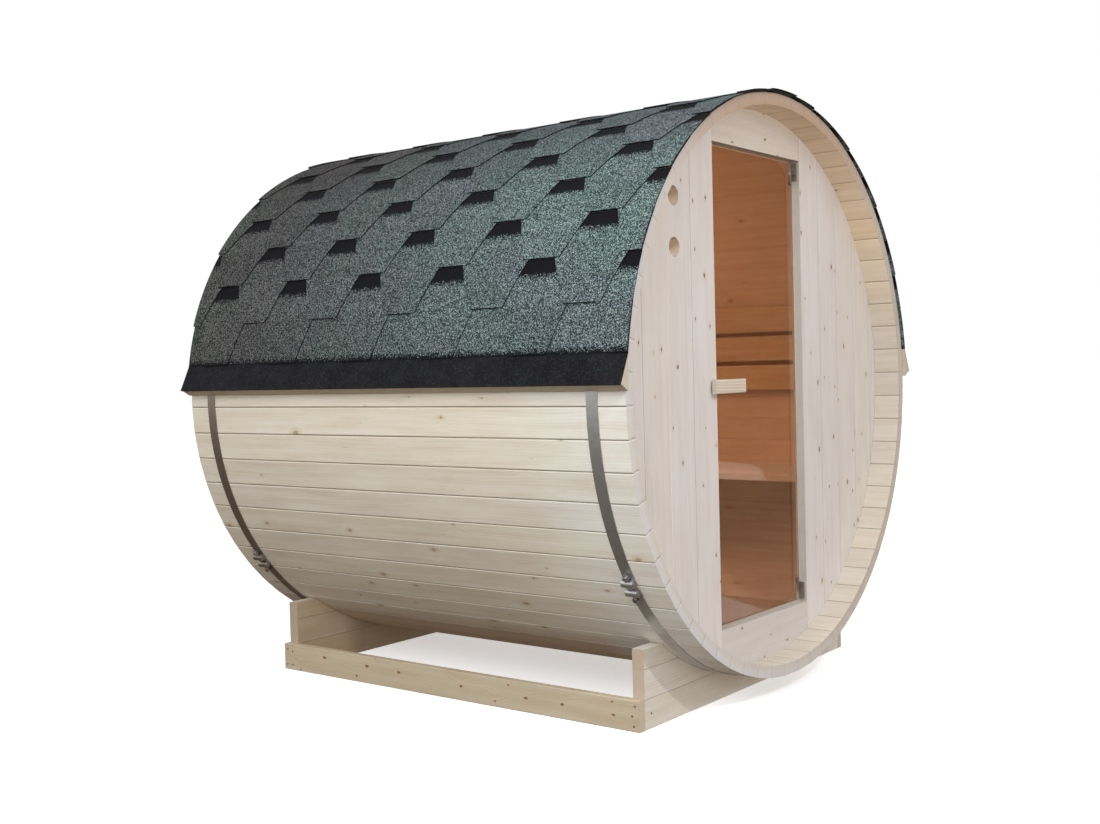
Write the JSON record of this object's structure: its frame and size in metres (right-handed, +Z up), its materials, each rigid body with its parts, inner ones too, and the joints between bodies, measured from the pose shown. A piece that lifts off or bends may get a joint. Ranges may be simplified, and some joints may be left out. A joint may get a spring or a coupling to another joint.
{
  "type": "barrel sauna",
  "caption": "Outdoor barrel sauna of wooden staves on timber cradles, with steel bands, a shingle roof, round vents, a tinted glass door that swings out, and a bench inside.",
  "frame": {"origin": "on the ground, under the middle of the barrel", "axes": "+X right seen from the door, +Y from the door to the back along the barrel, +Z up"},
  "size_m": [1.9788, 1.91, 1.9741],
  "materials": {
    "stave_wood": "planed bare spruce",
    "wall_wood": "planed pale spruce",
    "inner_wood": "planed bare spruce",
    "handle_wood": "sanded pale spruce",
    "base_wood": "planed bare spruce",
    "shingle_bitumen": "mineral granules, matt",
    "eave_bitumen": "matt black",
    "band_steel": "dull galvanised",
    "zinc_steel": "bright zinc",
    "tinted_glass": "polished bronze tint"
  },
  "bodies": {
    "cabin": {"backrest_battens": "inner_wood", "backrest_boards": "inner_wood", "bench_boards": "inner_wood", "bench_cleats": "inner_wood", "bottom_staves": "stave_wood", "floor_bearers": "inner_wood", "floor_boards": "inner_wood", "front_band": "band_steel", "front_cradle": "base_wood", "front_tensioner": "zinc_steel", "front_vent_board": "wall_wood", "front_wall_header": "wall_wood", "front_wall_left": "wall_wood", "front_wall_right": "wall_wood", "front_wall_sill": "wall_wood", "jamb_hinge_leaves": "zinc_steel", "left_eave_strip": "eave_bitumen", "left_eave_wedge": "base_wood", "left_shingles": "shingle_bitumen", "left_staves": "stave_wood", "left_stringer": "base_wood", "lower_left_staves": "stave_wood", "lower_right_staves": "stave_wood", "rear_band": "band_steel", "rear_cradle": "base_wood", "rear_tensioner": "zinc_steel", "rear_wall": "wall_wood", "ridge_course": "shingle_bitumen", "right_eave_strip": "eave_bitumen", "right_eave_wedge": "base_wood", "right_shingles": "shingle_bitumen", "right_staves": "stave_wood", "right_stringer": "base_wood", "top_staves": "stave_wood", "upper_left_staves": "stave_wood", "upper_right_staves": "stave_wood"},
    "door": {"door_glass": "tinted_glass", "door_handle": "handle_wood", "door_hinge_clamps": "zinc_steel"}
  },
  "joints": [
    {"name": "door_hinge", "type": "hinge", "parent": "cabin", "child": "door", "pos_m": [0.282, -0.818, 1], "axis": [0, 0, 1], "range_deg": [0, 90]}
  ]
}
